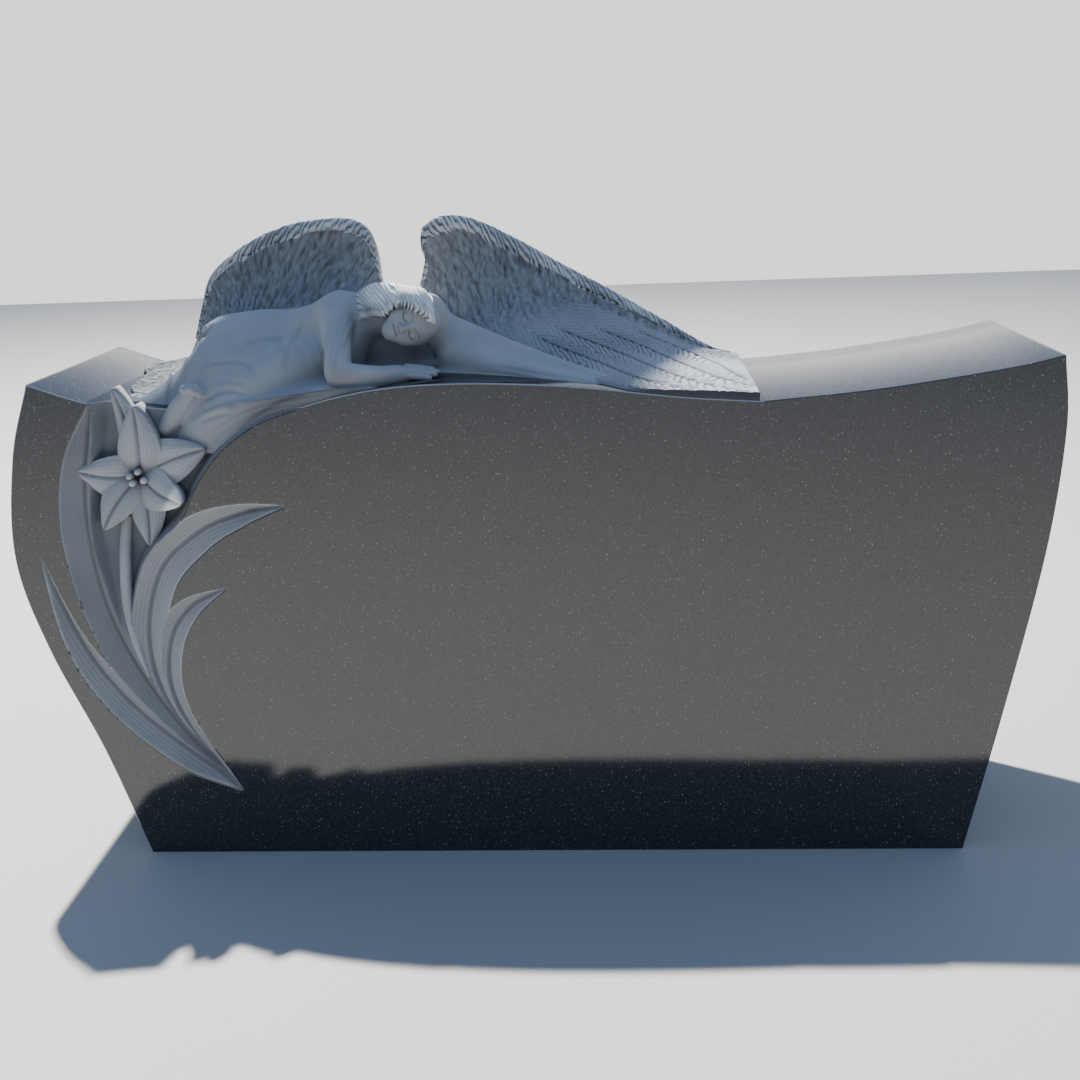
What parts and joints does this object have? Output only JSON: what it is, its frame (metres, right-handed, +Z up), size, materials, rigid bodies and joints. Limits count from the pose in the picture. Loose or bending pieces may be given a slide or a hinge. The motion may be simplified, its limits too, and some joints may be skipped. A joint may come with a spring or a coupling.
{
  "type": "granite headstone",
  "caption": "Dark granite headstone with a polished face, a wave-shaped top, and a winged figure asleep above a carved lily and long leaves",
  "frame": {"origin": "on the ground, under the middle of the block's width and depth", "axes": "+X along the width, to the right as the polished face is seen; +Y through the depth, away from the viewer; +Z up"},
  "size_m": [1.276, 0.305, 0.8063],
  "materials": {
    "granite": "polished black-grey granite on the face, top and sides; matt light blue-grey where it is carved"
  },
  "bodies": {
    "root": {"monument": "granite"}
  },
  "joints": []
}
